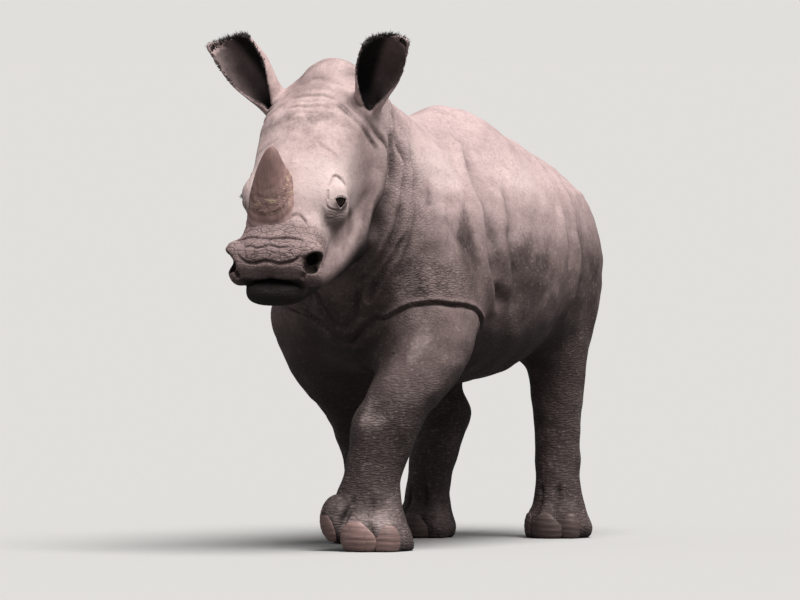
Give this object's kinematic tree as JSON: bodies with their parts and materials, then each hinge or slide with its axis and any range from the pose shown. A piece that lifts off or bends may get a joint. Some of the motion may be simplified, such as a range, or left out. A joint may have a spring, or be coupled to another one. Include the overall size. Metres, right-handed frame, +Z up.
{
  "type": "white rhinoceros calf",
  "caption": "White rhinoceros calf in mid step with raised cupped ears, a low horn bud, wrinkled square muzzle and folded grey hide, as a still life-size museum model.",
  "frame": {"origin": "on the floor, under the middle of the whole animal's box", "axes": "+Z up, the animal faces -Y, +X to its left side"},
  "size_m": [0.493, 1.3278, 1.0784],
  "materials": {
    "hide": "dry wrinkled pinkish grey hide with dusty and muddy patches",
    "leg_hide": "dry finely creased dark brown-grey hide",
    "horn": "rough dull brown horn with ochre flakes",
    "nail": "dull pinkish brown horn with faint growth rings",
    "eye": "wet glossy near-black"
  },
  "bodies": {
    "root": {"head": "hide", "neck": "hide", "trunk": "hide", "lower_jaw": "hide", "tail": "hide", "horn": "horn", "eye_left": "eye", "ear_left": "hide", "eye_right": "eye", "ear_right": "hide", "leg_fore_left": "leg_hide", "shank_fore_left": "leg_hide", "foot_fore_left": "leg_hide", "nail_fore_left_inner": "nail", "nail_fore_left_middle": "nail", "nail_fore_left_outer": "nail", "leg_fore_right": "leg_hide", "shank_fore_right": "leg_hide", "foot_fore_right": "leg_hide", "nail_fore_right_inner": "nail", "nail_fore_right_middle": "nail", "nail_fore_right_outer": "nail", "leg_hind_left": "leg_hide", "shank_hind_left": "leg_hide", "foot_hind_left": "leg_hide", "nail_hind_left_inner": "nail", "nail_hind_left_middle": "nail", "nail_hind_left_outer": "nail", "leg_hind_right": "leg_hide", "shank_hind_right": "leg_hide", "foot_hind_right": "leg_hide", "nail_hind_right_inner": "nail", "nail_hind_right_middle": "nail", "nail_hind_right_outer": "nail"}
  },
  "joints": []
}
